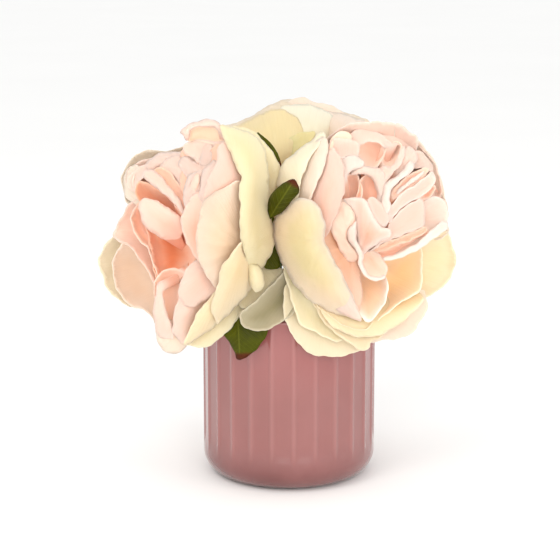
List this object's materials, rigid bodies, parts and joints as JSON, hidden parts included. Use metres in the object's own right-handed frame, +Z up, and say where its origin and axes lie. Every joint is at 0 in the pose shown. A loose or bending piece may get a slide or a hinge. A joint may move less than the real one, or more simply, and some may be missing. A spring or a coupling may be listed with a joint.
{
  "type": "peonies in a vase",
  "caption": "Cream and blush double peonies in a low bunch, resting in a straight round fluted vase of opaque rose glass with a rounded foot.",
  "frame": {"origin": "centre of the flat underside of the vase, on the surface it stands on", "axes": "+Z up along the vase, -Y towards the front, where two of the blooms face; +X to the right seen from the front"},
  "size_m": [0.2062, 0.1855, 0.2166],
  "materials": {
    "rose_glass": "opaque milky rose glass, glossy, with soft vertical flutes",
    "cream_petal": "matt petal, cream yellow, paler at the rim",
    "blush_petal": "matt petal, blush pink over cream, deeper towards its base",
    "leaf_green": "satin dark olive leaf with a brown tip",
    "stem_green": "satin green stem"
  },
  "bodies": {
    "root": {"back_calyx": "leaf_green", "back_heart": "blush_petal", "back_inner_petal_1": "blush_petal", "back_inner_petal_2": "blush_petal", "back_inner_petal_3": "blush_petal", "back_inner_petal_4": "blush_petal", "back_middle_petal_1": "blush_petal", "back_middle_petal_2": "blush_petal", "back_middle_petal_3": "blush_petal", "back_middle_petal_4": "blush_petal", "back_middle_petal_5": "blush_petal", "back_outer_petal_1": "cream_petal", "back_outer_petal_2": "cream_petal", "back_outer_petal_3": "cream_petal", "back_outer_petal_4": "cream_petal", "back_outer_petal_5": "cream_petal", "back_stem": "stem_green", "front_leaf": "leaf_green", "left_calyx": "leaf_green", "left_heart": "blush_petal", "left_inner_petal_1": "blush_petal", "left_inner_petal_2": "blush_petal", "left_inner_petal_3": "blush_petal", "left_inner_petal_4": "blush_petal", "left_middle_petal_1": "blush_petal", "left_middle_petal_2": "blush_petal", "left_middle_petal_3": "blush_petal", "left_middle_petal_4": "blush_petal", "left_middle_petal_5": "blush_petal", "left_outer_petal_1": "cream_petal", "left_outer_petal_2": "cream_petal", "left_outer_petal_3": "cream_petal", "left_outer_petal_4": "cream_petal", "left_outer_petal_5": "cream_petal", "left_stem": "stem_green", "right_calyx": "leaf_green", "right_heart": "blush_petal", "right_inner_petal_1": "blush_petal", "right_inner_petal_2": "blush_petal", "right_inner_petal_3": "blush_petal", "right_inner_petal_4": "blush_petal", "right_middle_petal_1": "blush_petal", "right_middle_petal_2": "blush_petal", "right_middle_petal_3": "blush_petal", "right_middle_petal_4": "blush_petal", "right_middle_petal_5": "blush_petal", "right_outer_petal_1": "cream_petal", "right_outer_petal_2": "cream_petal", "right_outer_petal_3": "cream_petal", "right_outer_petal_4": "cream_petal", "right_outer_petal_5": "cream_petal", "right_stem": "stem_green", "rim_leaf": "leaf_green", "vase": "rose_glass"}
  },
  "joints": []
}
